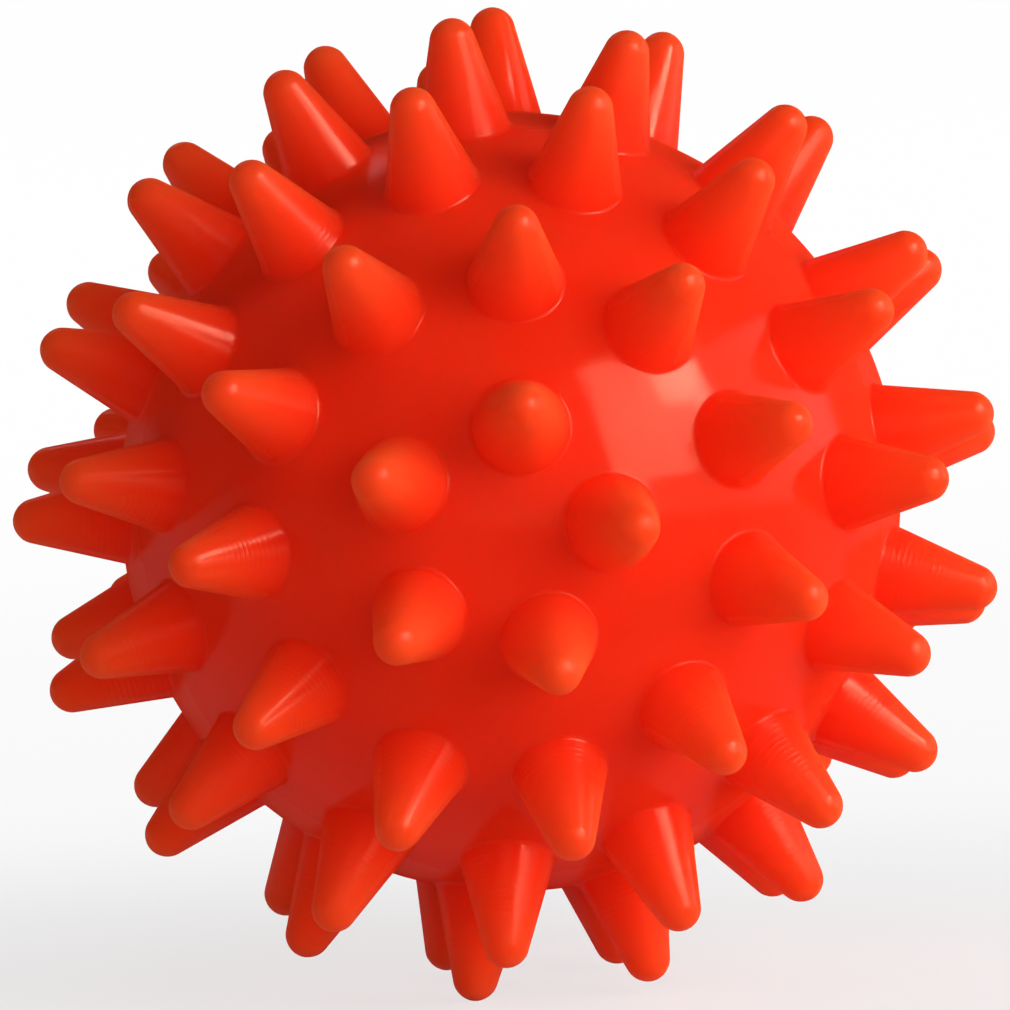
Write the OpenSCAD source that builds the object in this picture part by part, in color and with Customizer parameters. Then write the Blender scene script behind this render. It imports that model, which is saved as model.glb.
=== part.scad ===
// Spiky sensory ball: a hollow ball of soft PVC with rows of blunt spikes, closed by a push-in plug.
// The two halves come out of one mould pattern, so the back half is the front half turned over.
// Each piece is made with the mould axis upright and the front pole on top, and is then laid on its side,
// as the ball lies on a table: the front pole looks along -Y, the plug is at the back pole, and the origin
// is the centre of the ball.

/* [Skin] */
// Outside diameter of the ball between the spikes
skin_d = 58.8; // [54:0.2:68]
// Thickness of the wall
skin_t = 3; // [2:0.1:4.5]

/* [Spikes] */
// Height of a spike from its foot to the end of its tip
spike_h = 8.6; // [6:0.1:11]
// Diameter of a spike at its foot
spike_foot_d = 7.1; // [5.6:0.1:7.6]
// Diameter of the rounded tip
spike_tip_d = 3.4; // [2:0.1:4.4]

/* [Rows] */
// Angle between the pole and the spikes of the pole row
pole_row_angle = 16.2; // [15:0.1:18]
// Angle between the pole and the spikes of the shoulder row
shoulder_row_angle = 38.7; // [37:0.1:40]
// Angle between the pole and the spikes of the side row
side_row_angle = 60; // [58.5:0.1:61]
// Angle between the pole and the spikes of the equator row
equator_row_angle = 78.5; // [77.5:0.1:80]
// Number of spikes in the pole row
pole_row_count = 5; // [4:1:6]
// Number of spikes in the shoulder row
shoulder_row_count = 11; // [8:1:12]
// Number of spikes in the side row
side_row_count = 15; // [11:1:16]
// Number of spikes in the equator row
equator_row_count = 17; // [12:1:18]
// Turn of the pole row against the other rows of its half
pole_row_turn = 25.4; // [0:0.1:72]
// Turn of the back half against the front half
back_half_turn = -25.4; // [-180:0.1:180]
// Turn of the ball about its mould axis at which it lies still
lying_turn = 51.9; // [0:0.1:360]

/* [Valve] */
// Diameter of the filling hole
hole_d = 4; // [3:0.1:5]
// Outside diameter of the collar round the hole, inside the ball
collar_d = 9; // [7.5:0.1:12]
// Height of the collar above the inner face of the wall
collar_h = 4; // [2:0.1:8]
// Diameter of the head of the plug
plug_head_d = 6.4; // [5.6:0.1:7]
// Thickness of the head of the plug
plug_head_t = 1.2; // [0.8:0.1:1.6]
// Length of the tapered nose of the plug
plug_nose_l = 1.6; // [0.8:0.1:3]
// Diameter of the end of the nose
plug_nose_d = 2.6; // [1.4:0.1:2.8]
// Gap all round the stem of the plug in the hole
stem_gap = 0.04; // [0.02:0.01:0.1]
// Gap all round the head of the plug in its recess
head_gap = 0.15; // [0.1:0.01:0.2]

/* [Hidden] */
$fn = 96;

skin_colour = [0.90, 0.15, 0.06];
spike_colour = [0.96, 0.24, 0.09];
plug_colour = [0.93, 0.90, 0.84];

skin_r = skin_d / 2;
cavity_r = skin_r - skin_t;

// Each spike stands on a flat that meets the ball in a circle of the size of its foot
foot_r = spike_foot_d / 2;
flat_height = sqrt(skin_r * skin_r - foot_r * foot_r);

// Side of a spike: a cone that runs smoothly into the round tip
tip_r = spike_tip_d / 2;
tip_centre_h = spike_h - tip_r;
tip_steps = 6;
cone_angle = atan2(foot_r, tip_centre_h) - asin(tip_r / norm([foot_r, tip_centre_h]));
tip_angles = [for (i = [0 : tip_steps]) cone_angle + (90 - cone_angle) * i / tip_steps];
spike_outline = concat(
  [[0, 0], [foot_r, 0]],
  [for (i = [0 : tip_steps - 1]) tip_r * [cos(tip_angles[i]), sin(tip_angles[i])] + [0, tip_centre_h]],
  [[0, spike_h]]
);

// Every row as its number of spikes, its angle from the pole and its first spike's place round the axis
pole_row = [pole_row_count, pole_row_angle, pole_row_turn];
shoulder_row = [shoulder_row_count, shoulder_row_angle, 0];
side_row = [side_row_count, side_row_angle, 0];
equator_row = [equator_row_count, equator_row_angle, 0];
rows = [pole_row, shoulder_row, side_row, equator_row];

// Cuts run this far past the faces that they open
cut_overrun = 0.5;

// The collar grows out of the middle of the wall
collar_root_z = skin_t / 2 - skin_r;
collar_end_z = collar_h - cavity_r;

// The head of the plug sits on a ring-shaped floor, and its stem fills the hole as far as the collar's end
seat_z = plug_head_t - skin_r;
stem_d = hole_d - 2 * stem_gap;
stem_l = collar_end_z - seat_z;

module on_row(row) {
  for (i = [0 : row[0] - 1])
    rotate([0, row[1], row[2] + 360 * i / row[0]])
      translate([0, 0, flat_height])
        children();
}

module lying() {
  rotate([90, 0, 0])
    rotate([0, 0, lying_turn])
      children();
}

module turned_over() {
  rotate([180, 0, back_half_turn])
    children();
}

module spike() {
  rotate_extrude()
    polygon(spike_outline);
}

module front_row(row) {
  color(spike_colour)
    lying()
      on_row(row)
        spike();
}

module back_row(row) {
  color(spike_colour)
    lying()
      turned_over()
        on_row(row)
          spike();
}

module half_flats() {
  for (row = rows)
    on_row(row)
      cylinder(r = foot_r + cut_overrun, h = skin_r - flat_height + cut_overrun);
}

module hollow_wall() {
  difference() {
    sphere(r = skin_r);
    sphere(r = cavity_r);
  }
}

module collar() {
  translate([0, 0, collar_root_z])
    cylinder(d = collar_d, h = collar_end_z - collar_root_z);
}

module valve_cut() {
  translate([0, 0, seat_z - cut_overrun])
    cylinder(d = hole_d, h = stem_l + 2 * cut_overrun);
  translate([0, 0, seat_z - plug_head_t - cut_overrun])
    cylinder(d = plug_head_d + 2 * head_gap, h = plug_head_t + cut_overrun);
}

module ball_skin() {
  color(skin_colour)
    lying()
      difference() {
        union() {
          hollow_wall();
          collar();
        }
        half_flats();
        turned_over()
          half_flats();
        valve_cut();
      }
}

module front_pole_spikes() {
  front_row(pole_row);
}

module front_shoulder_spikes() {
  front_row(shoulder_row);
}

module front_side_spikes() {
  front_row(side_row);
}

module front_equator_spikes() {
  front_row(equator_row);
}

module back_equator_spikes() {
  back_row(equator_row);
}

module back_side_spikes() {
  back_row(side_row);
}

module back_shoulder_spikes() {
  back_row(shoulder_row);
}

module back_pole_spikes() {
  back_row(pole_row);
}

module plug_head() {
  intersection() {
    translate([0, 0, seat_z - plug_head_t])
      cylinder(d = plug_head_d, h = plug_head_t);
    sphere(r = skin_r);
  }
}

module plug_stem() {
  translate([0, 0, seat_z])
    cylinder(d = stem_d, h = stem_l);
  translate([0, 0, collar_end_z])
    cylinder(d1 = stem_d, d2 = plug_nose_d, h = plug_nose_l);
}

module valve_plug() {
  color(plug_colour)
    lying()
      union() {
        plug_head();
        plug_stem();
      }
}

ball_skin();
front_pole_spikes();
front_shoulder_spikes();
front_side_spikes();
front_equator_spikes();
back_equator_spikes();
back_side_spikes();
back_shoulder_spikes();
back_pole_spikes();
valve_plug();
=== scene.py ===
# %% [markdown]
# # A spiky sensory ball
# The ball is one hollow moulding of soft, slightly see-through PVC with 96 blunt spikes, and a small plug
# closes its filling hole at the back. The CAD model holds its sizes and its moving plug as plain solids.
# This script builds the same two pieces with rounded feet, tool marks and a proper finish, and lights them.
#
# The frame comes first: every piece below is placed in its coordinates, in metres. The mould axis runs
# along Y, the front pole looks along -Y, and the ball lies on the tips of its lowest spikes.

# %% Load the frame
import math

import bmesh
import bpy
from mathutils import Matrix, Vector


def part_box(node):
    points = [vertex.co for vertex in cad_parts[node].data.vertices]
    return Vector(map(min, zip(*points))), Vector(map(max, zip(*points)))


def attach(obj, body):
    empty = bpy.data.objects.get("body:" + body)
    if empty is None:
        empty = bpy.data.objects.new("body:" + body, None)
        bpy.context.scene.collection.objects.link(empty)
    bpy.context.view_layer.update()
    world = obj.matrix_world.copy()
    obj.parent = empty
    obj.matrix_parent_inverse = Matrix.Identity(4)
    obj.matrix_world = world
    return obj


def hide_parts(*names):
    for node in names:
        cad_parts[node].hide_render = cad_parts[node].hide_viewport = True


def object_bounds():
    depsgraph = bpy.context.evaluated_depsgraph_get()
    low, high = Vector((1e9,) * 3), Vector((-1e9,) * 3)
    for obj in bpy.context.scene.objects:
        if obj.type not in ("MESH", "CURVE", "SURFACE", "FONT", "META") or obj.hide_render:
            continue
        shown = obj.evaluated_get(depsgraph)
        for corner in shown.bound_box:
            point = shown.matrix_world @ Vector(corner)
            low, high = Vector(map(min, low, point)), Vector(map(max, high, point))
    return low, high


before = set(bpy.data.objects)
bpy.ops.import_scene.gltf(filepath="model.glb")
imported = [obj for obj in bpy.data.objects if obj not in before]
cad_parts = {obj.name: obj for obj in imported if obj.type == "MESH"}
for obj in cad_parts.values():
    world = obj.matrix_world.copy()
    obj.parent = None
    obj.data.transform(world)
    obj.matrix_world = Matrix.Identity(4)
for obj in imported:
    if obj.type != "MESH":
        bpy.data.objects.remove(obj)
cad_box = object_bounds()
print("CAD box in metres:", [[round(value, 4) for value in corner] for corner in cad_box])

# %% [markdown]
# ## Sizes of the CAD model
# The skin, the wall, the tips and the plug have to be where the CAD model has them. Their sizes could be
# written here again, but then the two models could drift apart, so they are measured in the frame. The packed
# meshes hold rounded numbers, so each measure is taken to the nearest hundredth of a millimetre.

# %% Measure the CAD model
MM = 0.001


def hundredth(length):
    """A length to the nearest hundredth of a millimetre."""
    return round(length / MM, 2) * MM


skin_points = [vert.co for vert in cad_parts["ball_skin"].data.vertices]
tip_points = [vert.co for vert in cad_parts["front_pole_spikes"].data.vertices]
plug_low, plug_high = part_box("valve_plug")
SKIN_R = hundredth(max(point.length for point in skin_points))
CAVITY_R = hundredth(min(point.length for point in skin_points if point.y < 0))
TIP_REACH = max(point.length for point in tip_points)
PLUG_HEAD_R = hundredth((plug_high.x - plug_low.x) / 2)
NOSE_END = hundredth(plug_low.y)
sizes = (SKIN_R, CAVITY_R, TIP_REACH, PLUG_HEAD_R, NOSE_END)
print("skin, cavity, tips, plug head and nose in mm:", [round(size / MM, 3) for size in sizes])

# %% [markdown]
# ## Camera
# The photograph looks almost straight at the front pole, from a little above and with a long lens. A camera
# can be aimed by a Track To constraint, but then its roll is lost, so it is turned by three plain angles:
# round the ball, up, and a small roll. Its distance and lens give the same perspective as the photograph.
# A sideways and downward move of less than half a millimetre centres the ball as the photograph does.

# %% Place the camera
VIEW_TURN = math.radians(1.7)
VIEW_RISE = math.radians(5.24)
VIEW_ROLL = math.radians(-2.44)
VIEW_DISTANCE = 728.8 * MM
VIEW_MOVE = Vector((-0.382, -0.237, 0)) * MM

camera_turn = (
    Matrix.Rotation(VIEW_TURN, 4, "Z")
    @ Matrix.Rotation(math.pi / 2 - VIEW_RISE, 4, "X")
    @ Matrix.Rotation(VIEW_ROLL, 4, "Z")
)
camera_data = bpy.data.cameras.new("photo_camera")
camera_data.lens = 344.1
camera_data.sensor_width = 36
camera = bpy.data.objects.new("photo_camera", camera_data)
camera.matrix_world = camera_turn @ Matrix.Translation(VIEW_MOVE + Vector((0, 0, VIEW_DISTANCE)))
bpy.context.scene.collection.objects.link(camera)
bpy.context.scene.camera = camera
print("camera at", [round(value, 3) for value in camera.matrix_world.translation])

# %% [markdown]
# ## Where the spikes stand
# The mould has two halves with the same pattern: rows of 5, 11, 15 and 17 spikes at growing angles from the
# pole. The back half is the front half turned over. Each spike gets a matrix that takes a spike standing on
# the Z axis to its place, so one modelled spike serves for all of them.

# %% List the places of the spikes
POLE_ROW = (5, 16.2, 25.4)
SHOULDER_ROW = (11, 38.7, 0)
SIDE_ROW = (15, 60, 0)
EQUATOR_ROW = (17, 78.5, 0)
BACK_HALF_TURN = math.radians(-25.4)
LYING_TURN = math.radians(51.9)

lying = Matrix.Rotation(math.pi / 2, 4, "X") @ Matrix.Rotation(LYING_TURN, 4, "Z")
turned_over = Matrix.Rotation(BACK_HALF_TURN, 4, "Z") @ Matrix.Rotation(math.pi, 4, "X")
spike_places = []
for half in (lying, lying @ turned_over):
    for count, angle, start in (POLE_ROW, SHOULDER_ROW, SIDE_ROW, EQUATOR_ROW):
        for number in range(count):
            round_axis = Matrix.Rotation(math.radians(start + 360 * number / count), 4, "Z")
            spike_places.append(half @ round_axis @ Matrix.Rotation(math.radians(angle), 4, "Y"))
valve_place = lying @ turned_over
print(len(spike_places), "spikes")

# %% [markdown]
# ## The skin
# The skin is a ball with a fine raised line where the two halves of the mould met. A UV sphere would crowd
# its faces at the poles, so an icosphere gives even triangles. Three plane cuts round its middle lay rows of
# points along the mould line, and the middle row is pushed out by a few hundredths of a millimetre.

# %% Make the skin with its mould line
LINE_HALF_WIDTH = 0.16 * MM
LINE_HEIGHT = 0.05 * MM
LINE_SLACK = 0.02 * MM
MIDDLE_ROW = 0.05 * MM

ball = bmesh.new()
bmesh.ops.create_icosphere(ball, subdivisions=6, radius=SKIN_R)
for offset in (-LINE_HALF_WIDTH, 0, LINE_HALF_WIDTH):
    bmesh.ops.bisect_plane(
        ball,
        geom=ball.verts[:] + ball.edges[:] + ball.faces[:],
        dist=LINE_SLACK,
        plane_co=(0, offset, 0),
        plane_no=(0, 1, 0),
    )
for vert in ball.verts:
    if abs(vert.co.y) < MIDDLE_ROW:
        vert.co = vert.co.normalized() * (SKIN_R + LINE_HEIGHT)
print("skin:", len(ball.faces), "faces")

# %% [markdown]
# ## Openings for the feet and the plug
# Each spike runs into the skin in a rounded corner. To weld a spike in, the skin first gets a round opening
# just outside that corner. A plane across the spike's axis cuts off a cap of the ball exactly along a circle,
# so bisect_plane with clear_outer does it. The recess of the plug is opened in the same way.

# %% Cut the openings
FOOT_OPENING_R = 3.95 * MM
RECESS_OPENING_R = 3.75 * MM
CUT_SLACK = 0.01 * MM
RIM_SLACK = 0.12 * MM
RIM_POINT_GAP = 0.18 * MM
SHELL_SLACK = 0.2 * MM


def open_edges_round(shell, axis, opening_r):
    """The open edges of a shell that lie on a circle of this radius round an axis."""
    rim = []
    for edge in shell.edges:
        if edge.is_boundary:
            offsets = [(vert.co - axis * vert.co.dot(axis)).length - opening_r for vert in edge.verts]
            on_circle = max(abs(offset) for offset in offsets) < RIM_SLACK
            if on_circle and edge.verts[0].co.dot(axis) > 0:
                rim.append(edge)
    return rim


def open_cap(shell, place, shell_r, opening_r):
    """Cuts a round cap off a ball-shaped shell and returns the edges of the opening."""
    axis = (place.to_3x3() @ Vector((0, 0, 1))).normalized()
    height = math.sqrt(shell_r**2 - opening_r**2)
    above = [vert for vert in shell.verts if vert.co.dot(axis) > height]
    near = [vert for vert in above if vert.co.length < shell_r + SHELL_SLACK]
    faces = dict.fromkeys(face for vert in near for face in vert.link_faces)
    edges = dict.fromkeys(edge for face in faces for edge in face.edges)
    verts = dict.fromkeys(vert for face in faces for vert in face.verts)
    bmesh.ops.bisect_plane(
        shell,
        geom=[*faces, *edges, *verts],
        dist=CUT_SLACK,
        plane_co=axis * height,
        plane_no=axis,
        clear_outer=True,
    )
    rim = open_edges_round(shell, axis, opening_r)
    rim_verts = dict.fromkeys(vert for edge in rim for vert in edge.verts)
    bmesh.ops.remove_doubles(shell, verts=list(rim_verts), dist=RIM_POINT_GAP)
    return open_edges_round(shell, axis, opening_r)


foot_rims = [open_cap(ball, place, SKIN_R, FOOT_OPENING_R) for place in spike_places]
recess_rim = open_cap(ball, valve_place, SKIN_R, RECESS_OPENING_R)
print("openings:", len(foot_rims) + 1, "with", len(recess_rim), "edges at the recess")
print("faces left on the skin:", len(ball.faces))

# %% [markdown]
# ## One spike
# A spike is a blunt cone. In the mould it is a turned hole, so its foot is a little rounded and its tip is a
# small dome. Turned shapes are made with a spin: a few corner points give the profile, a bevel of its points
# rounds the corners, and the spin takes the profile round.

# %% Turn one spike
FOOT_R = 3.55 * MM
FOOT_ROUNDING = 0.25 * MM
TIP_R = 1.7 * MM
SPIKE_SIDES = 28
SPIKE_ROUNDING_STEPS = 8
BRIDGE_WIDTH = 0.1 * MM
SAME_POINT = 0.002 * MM

FLAT_HEIGHT = math.sqrt(SKIN_R**2 - FOOT_R**2)
SPIKE_H = hundredth(TIP_REACH - FLAT_HEIGHT)
TIP_END = FLAT_HEIGHT + SPIKE_H
tip_centre = SPIKE_H - TIP_R
cone_lean = math.atan2(FOOT_R, tip_centre) - math.asin(TIP_R / math.hypot(FOOT_R, tip_centre))


def turned(corners, roundings, sides, segments):
    """Spins a profile of (radius, height) corners round Z; roundings gives a corner's bevel length."""
    shape = bmesh.new()
    points = [shape.verts.new((radius, 0, height)) for radius, height in corners]
    for one, other in zip(points, points[1:]):
        shape.edges.new((one, other))
    for number, length in roundings.items():
        bmesh.ops.bevel(
            shape,
            geom=[points[number]],
            offset=length,
            offset_type="OFFSET",
            affect="VERTICES",
            segments=segments,
            profile=0.5,
            material=-1,
        )
    bmesh.ops.spin(
        shape,
        geom=shape.verts[:] + shape.edges[:],
        cent=(0, 0, 0),
        axis=(0, 0, 1),
        angle=2 * math.pi,
        steps=sides,
        use_merge=True,
    )
    bmesh.ops.remove_doubles(shape, verts=shape.verts[:], dist=SAME_POINT)
    mesh = bpy.data.meshes.new("turned_shape")
    shape.to_mesh(mesh)
    shape.free()
    return mesh


def cone_radius(height):
    """Radius of the spike's cone at a height above its flat."""
    return FOOT_R - height * math.tan(cone_lean)


tip_corner_r = cone_radius(SPIKE_H)
tip_rounding = 0.98 * tip_corner_r
ring_height = 0.35 * SPIKE_H
base_r = FOOT_OPENING_R - BRIDGE_WIDTH
spike_corners = [
    (base_r, math.sqrt(SKIN_R**2 - base_r**2)),
    (FOOT_R, FLAT_HEIGHT),
    (cone_radius(ring_height), FLAT_HEIGHT + ring_height),
    (tip_corner_r, TIP_END),
    (0, TIP_END),
]
spike_roundings = {1: FOOT_ROUNDING, 3: tip_rounding}
spike_mesh = turned(spike_corners, spike_roundings, SPIKE_SIDES, SPIKE_ROUNDING_STEPS)
lean = round(math.degrees(cone_lean), 2)
print("one spike:", len(spike_mesh.polygons), "faces, and its cone leans by", lean, "degrees")

# %% [markdown]
# ## Welding the spikes in
# The real spikes are one piece with the skin. Joining loose cones would leave hidden walls inside, so each
# copy of the spike is welded to its opening: bridge_loops fills the narrow ring between the two open edges.

# %% Set the spikes into the skin
FACING_SLACK = 1 * MM


def set_in(shell, mesh, place, rims):
    """Adds a placed copy of an open mesh to a shell and bridges its open edges to the rims given."""
    open_before = {edge for edge in shell.edges if edge.is_boundary}
    copy = mesh.copy()
    copy.transform(place)
    shell.from_mesh(copy)
    bpy.data.meshes.remove(copy)
    open_now = [edge for edge in shell.edges if edge.is_boundary and edge not in open_before]
    for rim in rims:
        rim_reach = rim[0].verts[0].co.length
        facing = [
            edge for edge in open_now if abs(edge.verts[0].co.length - rim_reach) < FACING_SLACK
        ]
        bmesh.ops.bridge_loops(shell, edges=rim + facing)


for place, rim in zip(spike_places, foot_rims):
    set_in(ball, spike_mesh, place, [rim])
print("skin and spikes:", len(ball.faces), "faces")

# %% [markdown]
# ## Inner wall and filling hole
# The ball is hollow, with a wall of 3 mm. At the back pole a recess takes the plug's head, a hole runs
# through, and a thick collar inside grips the plug's stem. The inner wall is a second, smaller icosphere with
# a cap cut off. The recess, hole and collar are one turned profile, bridged to the openings of both balls.

# %% Make the inside
RECESS_R = 3.35 * MM
SEAT = 28.2 * MM
HOLE_R = 2.0 * MM
COLLAR_R = 4.5 * MM
COLLAR_END = 22.4 * MM
COLLAR_OPENING_R = 5.4 * MM
VALVE_SIDES = 48
SMALL_ROUNDING_STEPS = 4

bmesh.ops.create_icosphere(ball, subdivisions=5, radius=CAVITY_R)
collar_rim = open_cap(ball, valve_place, CAVITY_R, COLLAR_OPENING_R)
recess_base_r = RECESS_OPENING_R - BRIDGE_WIDTH
collar_base_r = COLLAR_OPENING_R - 2 * BRIDGE_WIDTH
valve_corners = [
    (recess_base_r, math.sqrt(SKIN_R**2 - recess_base_r**2)),
    (RECESS_R, math.sqrt(SKIN_R**2 - RECESS_R**2)),
    (RECESS_R, SEAT),
    (HOLE_R, SEAT),
    (HOLE_R, COLLAR_END),
    (COLLAR_R, COLLAR_END),
    (COLLAR_R, math.sqrt(CAVITY_R**2 - COLLAR_R**2)),
    (collar_base_r, math.sqrt(CAVITY_R**2 - collar_base_r**2)),
]
valve_roundings = {1: 0.25 * MM, 2: 0.12 * MM, 3: 0.15 * MM, 4: 0.2 * MM, 5: 0.5 * MM, 6: 0.6 * MM}
valve_mesh = turned(valve_corners, valve_roundings, VALVE_SIDES, SMALL_ROUNDING_STEPS)
set_in(ball, valve_mesh, valve_place, [recess_rim, collar_rim])
print("whole moulding:", len(ball.faces), "faces")

# %% [markdown]
# ## The finished moulding
# The shells are now one closed surface, so its normals can be recalculated together. The piece rides on the
# ball's body and stands for the skin and all the rows of spikes of the CAD model.

# %% Turn the moulding into an object


def finished_piece(name, shape, body, slot, *nodes):
    """Makes an object of a closed shape, shades it smooth, ties it to its body and hides its CAD nodes; the
    slot is not used.
    """
    bmesh.ops.remove_doubles(shape, verts=shape.verts[:], dist=SAME_POINT)
    bmesh.ops.recalc_face_normals(shape, faces=shape.faces[:])
    for face in shape.faces:
        face.smooth = True
    open_edges = sum(not edge.is_manifold for edge in shape.edges)
    mesh = bpy.data.meshes.new(name)
    shape.to_mesh(mesh)
    shape.free()
    mesh.calc_loop_triangles()
    piece = bpy.data.objects.new(name, mesh)
    bpy.context.scene.collection.objects.link(piece)
    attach(piece, body)
    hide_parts(*nodes)
    print(name, "has", len(mesh.loop_triangles), "triangles and", open_edges, "open edges")
    return piece


spike_rows = ["pole", "shoulder", "side", "equator"]
row_nodes = [f"{half}_{row}_spikes" for half in ("front", "back") for row in spike_rows]
moulding = finished_piece("ball_moulding", ball, "ball", "soft_pvc", "ball_skin", *row_nodes)

# %% [markdown]
# ## The plug
# The stopper is a small turned piece: a shallow domed head that sits flush in its recess, a stem and a
# tapered nose. A dimple in the middle of the head is where the plug was filled in its own mould. It is again
# a profile of a few corners, rounded by a bevel and spun.

# %% Turn the plug
STEM_R = 1.96 * MM
NOSE_R = 1.3 * MM
DIMPLE_R = 0.55 * MM
DIMPLE_DEPTH = 0.16 * MM
PLUG_SIDES = 64

plug_corners = [
    (0, SKIN_R - DIMPLE_DEPTH),
    (0.6 * DIMPLE_R, SKIN_R - DIMPLE_DEPTH),
    (DIMPLE_R, math.sqrt(SKIN_R**2 - DIMPLE_R**2)),
    (0.5 * PLUG_HEAD_R, math.sqrt(SKIN_R**2 - 0.25 * PLUG_HEAD_R**2)),
    (PLUG_HEAD_R, math.sqrt(SKIN_R**2 - PLUG_HEAD_R**2)),
    (PLUG_HEAD_R, SEAT),
    (STEM_R, SEAT),
    (STEM_R, COLLAR_END),
    (NOSE_R, NOSE_END),
    (0, NOSE_END),
]
dimple_roundings = {1: 0.1 * MM, 2: 0.12 * MM}
head_roundings = {4: 0.25 * MM, 5: 0.2 * MM}
stem_roundings = {6: 0.1 * MM, 7: 0.4 * MM, 8: 0.4 * MM}
plug_roundings = {**dimple_roundings, **head_roundings, **stem_roundings}
plug_mesh = turned(plug_corners, plug_roundings, PLUG_SIDES, SMALL_ROUNDING_STEPS)
plug_mesh.transform(valve_place)
plug_shape = bmesh.new()
plug_shape.from_mesh(plug_mesh)
plug = finished_piece("plug_stopper", plug_shape, "plug", "plug_pvc", "valve_plug")

# %% [markdown]
# ## Shader maths
# A finish is easier to read as sums than as a web of nodes. This class holds one output socket, and each
# operator on it adds a Math node. Its method node() makes any other node: settings first, then its sockets.

# %% Signals between nodes


class Signal:
    """One output socket of a node tree, which can be used in sums."""

    def __init__(self, tree, socket=None):
        self.tree = tree
        self.socket = socket

    def node(self, kind, settings, sockets, out=0):
        """Adds a node, sets it up, fills or links its sockets, and returns one of its outputs."""
        made = self.tree.nodes.new(kind)
        stops = settings.pop("stops", None)
        for name, setting in settings.items():
            setattr(made, name, setting)
        if stops:
            ramp = made.color_ramp
            while len(ramp.elements) < len(stops):
                ramp.elements.new(1)
            for element, (position, colour) in zip(ramp.elements, stops):
                element.position = position
                element.color = colour
        for key, value in sockets.items():
            shown = [socket for socket in made.inputs if socket.enabled]
            named = [socket for socket in shown if socket.name == key]
            socket = made.inputs[key] if isinstance(key, int) else named[0]
            if isinstance(value, Signal):
                self.tree.links.new(value.socket, socket)
            else:
                socket.default_value = value
        outputs = [socket for socket in made.outputs if socket.enabled]
        named = [socket for socket in outputs if socket.name == out]
        if named:
            return Signal(self.tree, named[0])
        return Signal(self.tree, outputs[out] if outputs else None)

    def maths(self, operation, *values):
        """Adds a Math node for an operation on signals and numbers."""
        return self.node("ShaderNodeMath", {"operation": operation}, dict(enumerate(values)))

    def __add__(self, other):
        return self.maths("ADD", self, other)

    def __radd__(self, other):
        return self.maths("ADD", other, self)

    def __sub__(self, other):
        return self.maths("SUBTRACT", self, other)

    def __rsub__(self, other):
        return self.maths("SUBTRACT", other, self)

    def __mul__(self, other):
        return self.maths("MULTIPLY", self, other)

    def __rmul__(self, other):
        return self.maths("MULTIPLY", other, self)

    def __truediv__(self, other):
        return self.maths("DIVIDE", self, other)

    def __rtruediv__(self, other):
        return self.maths("DIVIDE", other, self)

    def step(self, low, high):
        """Rises smoothly from 0 at low to 1 at high."""
        return self.node(
            "ShaderNodeMapRange",
            {"interpolation_type": "SMOOTHSTEP"},
            {"Value": self, "From Min": low, "From Max": high, "To Min": 0, "To Max": 1},
        )

    def noise(self, place, scale, detail):
        """A cloudy pattern between 0 and 1, with about scale clouds to the metre."""
        sockets = {"Vector": place, "Scale": scale, "Detail": detail, "Roughness": 0.5}
        return self.node("ShaderNodeTexNoise", {}, sockets)


def new_finish(name):
    """An empty material with its node tree, as a first signal."""
    material = bpy.data.materials.new(name)
    material.use_nodes = True
    material.node_tree.nodes.clear()
    return material, Signal(material.node_tree)


print("signals ready")

# %% [markdown]
# ## Soft PVC
# The moulding is coloured right through. Where it is thin, at the tips, light comes through and it looks
# orange; the thick skin looks a deeper red. Subsurface scattering alone would show this only here, and not in
# an exported model, so the colour itself also changes with the height above the skin. That height is the
# distance from the middle of the ball, less the radius of the skin.
#
# Fine tool marks circle the cones of the front half, apart from the five smooth ones round its pole. The
# skin has a faint orange peel and a sharper gloss than the spikes, and a few specks sit in the material.
# Seen at a low angle, any glossy surface mirrors the bright floor as a pale rim. Soft PVC is too uneven for
# that, so towards the rims the gloss fades into the same surface without mirror reflections.

# %% Mix the soft PVC
TIP_COLOUR = (0.97, 0.070, 0.014, 1)
SPIKE_COLOUR = (0.97, 0.035, 0.008, 1)
SKIN_COLOUR = (0.97, 0.026, 0.007, 1)
DEEP_COLOUR = (0.92, 0.014, 0.002, 1)
TIP_HEIGHT = 8.4
TOOL_PITCH = 0.42
TOOL_DEPTH = 0.013
PEEL_DEPTH = 0.004
WAVE_DEPTH = 0.02
SKIN_ROUGHNESS = 0.09
SHINE = 0.06
LIGHT_REACH = 5.0 * MM

soft_pvc, begin = new_finish("soft_pvc_finish")
place = begin.node("ShaderNodeTexCoord", {}, {}, "Object")
reach = begin.node("ShaderNodeVectorMath", {"operation": "LENGTH"}, {0: place}, "Value")
height = (reach - SKIN_R) * (1 / MM)
colour_by_height = begin.node(
    "ShaderNodeValToRGB",
    {"stops": [(0.0, SKIN_COLOUR), (0.2, SPIKE_COLOUR), (1.0, TIP_COLOUR)]},
    {"Fac": height / TIP_HEIGHT},
)
cloud = begin.noise(place, 110, 3)
mottled = begin.node(
    "ShaderNodeMix",
    {"data_type": "RGBA"},
    {"Factor": cloud.step(0.35, 0.75) * 0.22, "A": colour_by_height, "B": DEEP_COLOUR},
)
speck_cells = begin.node(
    "ShaderNodeTexVoronoi", {"feature": "F1"}, {"Vector": place, "Scale": 150}, "Distance"
)
speck_choice = begin.noise(place, 60, 0)
specks = (1 - speck_cells.step(0.02, 0.045)) * speck_choice.step(0.62, 0.66)
coloured = begin.node(
    "ShaderNodeMix",
    {"data_type": "RGBA"},
    {"Factor": specks * 0.6, "A": mottled, "B": DEEP_COLOUR},
)
on_spike = height.step(0.1, 0.6)
on_cone = height.step(0.3, 0.9) * (1 - height.step(4.8, 6.2))
wander = begin.noise(place, 700, 2)
patches = begin.noise(place, 320, 2).step(0.35, 0.7)
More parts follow.
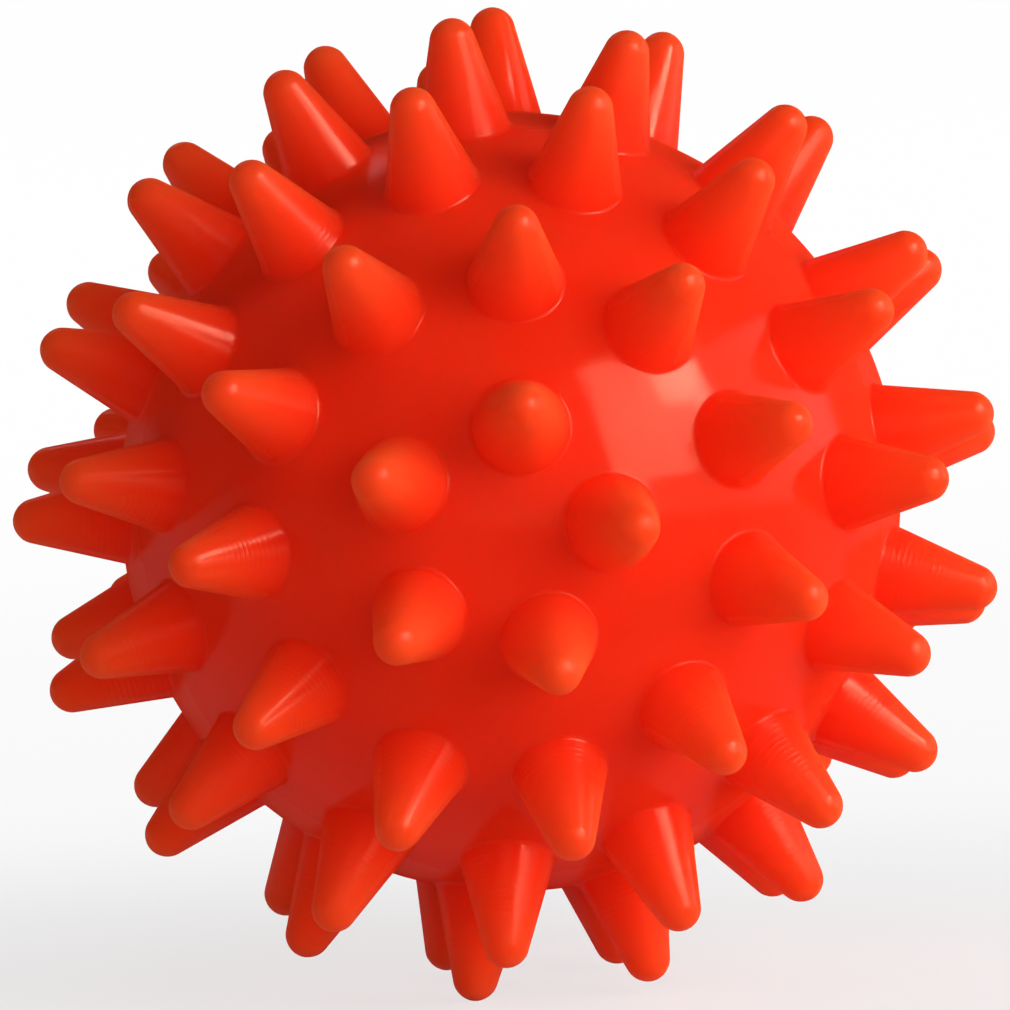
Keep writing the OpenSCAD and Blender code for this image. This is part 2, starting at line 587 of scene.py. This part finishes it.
turns = (height + wander * 0.3) * (2 * math.pi / TOOL_PITCH)
ridges = begin.maths("POWER", begin.maths("SINE", turns) * 0.5 + 0.5, 3)
along_axis = begin.node("ShaderNodeSeparateXYZ", {}, {"Vector": place}, "Y")
front_half = 1 - along_axis.step(-1 * MM, 1 * MM)
off_pole = (along_axis / reach).step(-0.93, -0.86)
tool_marks = ridges * on_cone * patches * front_half * off_pole
peel = begin.noise(place, 900, 2)
waves = begin.noise(place, 240, 1)
relief = tool_marks * TOOL_DEPTH + peel * PEEL_DEPTH + waves * WAVE_DEPTH
bump = begin.node("ShaderNodeBump", {}, {"Strength": 1.0, "Distance": 1 * MM, "Height": relief})
dull = begin.noise(place, 1500, 3)
slant = begin.node("ShaderNodeLayerWeight", {}, {"Blend": 0.5}, "Facing")
softer = on_spike * front_half * 0.10 + on_spike * (1 - off_pole) * 0.08
gloss = SKIN_ROUGHNESS + dull * 0.06 + softer + begin.maths("POWER", slant, 4) * 0.6


def soft_surface(shine):
    """The soft PVC with a given strength of its mirror reflections."""
    return begin.node(
        "ShaderNodeBsdfPrincipled",
        {"subsurface_method": "RANDOM_WALK"},
        {
            "Base Color": coloured,
            "Roughness": gloss,
            "Normal": bump,
            "IOR": 1.5,
            "Specular IOR Level": shine,
            "Specular Tint": (1.0, 0.5, 0.3, 1),
            "Subsurface Weight": 1.0,
            "Subsurface Radius": (1.0, 0.1, 0.04),
            "Subsurface Scale": LIGHT_REACH,
        },
    )


fading = slant.step(0.3, 0.75) * 0.8
surface = begin.node("ShaderNodeMixShader", {}, {0: fading, 1: soft_surface(SHINE), 2: soft_surface(0.0)})
begin.node("ShaderNodeOutputMaterial", {}, {"Surface": surface})
moulding.data.materials.append(soft_pvc)
print("soft PVC:", len(soft_pvc.node_tree.nodes), "nodes")

# %% [markdown]
# ## Plug PVC
# The plug is a harder, milky PVC with a satin face. A little cloudiness and fine grain keep it from looking
# like paint.

# %% Mix the plug PVC
PLUG_COLOUR = (0.80, 0.74, 0.63, 1)
PLUG_SHADE = (0.66, 0.58, 0.46, 1)

plug_pvc, begin = new_finish("plug_pvc_finish")
place = begin.node("ShaderNodeTexCoord", {}, {}, "Object")
cloud = begin.noise(place, 500, 3)
milky = begin.node(
    "ShaderNodeMix",
    {"data_type": "RGBA"},
    {"Factor": cloud.step(0.3, 0.8) * 0.5, "A": PLUG_COLOUR, "B": PLUG_SHADE},
)
grain = begin.noise(place, 4000, 2)
bump = begin.node("ShaderNodeBump", {}, {"Strength": 1.0, "Distance": 1 * MM, "Height": grain * 0.006})
surface = begin.node(
    "ShaderNodeBsdfPrincipled",
    {"subsurface_method": "RANDOM_WALK"},
    {
        "Base Color": milky,
        "Roughness": 0.36 + grain * 0.1,
        "Normal": bump,
        "IOR": 1.5,
        "Subsurface Weight": 0.2,
        "Subsurface Radius": (1.0, 0.7, 0.5),
        "Subsurface Scale": 1.0 * MM,
    },
)
begin.node("ShaderNodeOutputMaterial", {}, {"Surface": surface})
plug.data.materials.append(plug_pvc)
print("plug PVC:", len(plug_pvc.node_tree.nodes), "nodes")

# %% [markdown]
# ## Floor and surroundings
# The photograph has a plain white ground. The floor is a wide pale plane at the height of the lowest tip.
# More light would whiten it, but would also wash out the ball. Instead, what is seen of the floor, straight
# on or mirrored, is mixed with white through the Light Path node, more so farther from the ball. Close to
# the ball less white is mixed in, so the floor round it and its reflection in the ball's lower side are
# greyer: painted shade. For the light on the ball it stays a plain pale surface, and it still takes the
# shadow. Behind the floor, the world is white to the camera in the same way, and gives only a weak even
# light.

# %% Lay the floor and set the world
FLOOR_HALF = 8.0
SHADE_LIFT = 0.7
NEAR_LIFT = 0.2
FAR_LIFT = 0.09
ROOM_LIGHT = 0.10

floor_height = cad_box[0][2]
floor_shape = bmesh.new()
bmesh.ops.create_grid(floor_shape, x_segments=1, y_segments=1, size=FLOOR_HALF)
bmesh.ops.translate(floor_shape, verts=floor_shape.verts[:], vec=(0, 0, floor_height))
floor_mesh = bpy.data.meshes.new("floor")
floor_shape.to_mesh(floor_mesh)
floor_shape.free()
floor = bpy.data.objects.new("floor", floor_mesh)
bpy.context.scene.collection.objects.link(floor)


def seen_directly(begin):
    """1 for what the camera sees straight on, in a mirror or through glass, else 0."""
    path = {}
    for ray in ("Is Camera Ray", "Is Glossy Ray", "Is Transmission Ray"):
        path[ray] = begin.node("ShaderNodeLightPath", {}, {}, ray)
    either = begin.maths("MAXIMUM", path["Is Camera Ray"], path["Is Glossy Ray"])
    return begin.maths("MAXIMUM", either, path["Is Transmission Ray"])


pale_floor, begin = new_finish("pale_floor")
plain = begin.node("ShaderNodeBsdfDiffuse", {}, {"Color": (0.8, 0.8, 0.8, 1)})
white = begin.node("ShaderNodeEmission", {}, {"Color": (1, 1, 1, 1), "Strength": 1.0})
place = begin.node("ShaderNodeTexCoord", {}, {}, "Object")
distance = begin.node("ShaderNodeVectorMath", {"operation": "LENGTH"}, {0: place}, "Value")
# Less white is mixed in near the ball: painted shade round it, also where the floor is mirrored in the ball.
lift = SHADE_LIFT + distance.step(0.04, 0.14) * NEAR_LIFT + distance.step(0.1, 0.5) * FAR_LIFT
lifted = begin.node("ShaderNodeMixShader", {}, {0: seen_directly(begin) * lift, 1: plain, 2: white})
begin.node("ShaderNodeOutputMaterial", {}, {"Surface": lifted})
floor_mesh.materials.append(pale_floor)

world = bpy.data.worlds.new("studio")
bpy.context.scene.world = world
world.use_nodes = True
world.node_tree.nodes.clear()
begin = Signal(world.node_tree)
looking = begin.node("ShaderNodeTexCoord", {}, {}, "Generated")
upward = begin.node("ShaderNodeSeparateXYZ", {}, {"Vector": looking}, "Z")
backdrop = seen_directly(begin) * (1 - upward.step(0.06, 0.09))
glow = ROOM_LIGHT + backdrop * (1 - ROOM_LIGHT)
background = begin.node("ShaderNodeBackground", {}, {"Color": (1, 1, 1, 1), "Strength": glow})
begin.node("ShaderNodeOutputWorld", {}, {"Surface": background})
print("floor at", round(floor_height, 4))

# %% [markdown]
# ## Light
# One tall window stands to the right of the camera and a little above it, and weaker lamps fill in from the
# side, the front, the left, above and behind. Area lamps are soft, and a reflection takes the lamp's shape.
# Soft PVC mirrors little, so a lamp that is right for lighting it is too weak to see in its gloss. Lighting
# and gloss therefore have lamps of their own: the glint, the pane and the two glows light nothing, and only
# draw the bright patch on the skin, the highlights on the tips and the streaks along the spikes. The camera
# sees none of the lamps.

# %% Hang the lamps


def lamp(name, turn, rise, distance, size, power, mirrored=True, lighting=True):
    """An area lamp that looks at the ball from a turn to the right of the front and a rise, in degrees."""
    data = bpy.data.lights.new(name, "AREA")
    data.shape = "RECTANGLE"
    data.size, data.size_y = size
    data.energy = power
    hung = bpy.data.objects.new(name, data)
    aim = Matrix.Rotation(math.radians(turn), 4, "Z") @ Matrix.Rotation(math.radians(90 - rise), 4, "X")
    hung.matrix_world = aim @ Matrix.Translation((0, 0, distance))
    hung.visible_camera = False
    hung.visible_glossy = mirrored
    hung.visible_diffuse = lighting
    bpy.context.scene.collection.objects.link(hung)


lamp("window", 52, 18, 0.9, (0.55, 0.85), 6.8, mirrored=False)
lamp("window_glint", 50, 26, 0.9, (0.55, 0.55), 26.0, lighting=False)
lamp("bright_pane", 62, 35, 0.9, (0.24, 0.26), 10.0, lighting=False)
lamp("room_glow", 75, 12, 1.2, (2.2, 1.1), 30.0, lighting=False)
lamp("front_glow", 20, 14, 1.2, (1.5, 1.1), 9.0, lighting=False)
lamp("side_window", 85, 4, 0.9, (0.3, 0.3), 3.0, mirrored=False)
lamp("front_fill", 0, 2, 1.2, (1.4, 0.48), 3.4, mirrored=False)
lamp("left_fill", -55, 4, 1.2, (1.2, 0.5), 1.6, mirrored=False)
lamp("top_fill", 10, 62, 1.2, (0.8, 0.8), 1.6, mirrored=False)
lamp("back_fill", 195, 25, 1.2, (1.0, 0.6), 2.2, mirrored=False)
lamp("back_window", 205, 35, 1.2, (0.35, 0.35), 1.0)
bpy.context.scene.view_settings.view_transform = "Standard"
print("lamps hung")
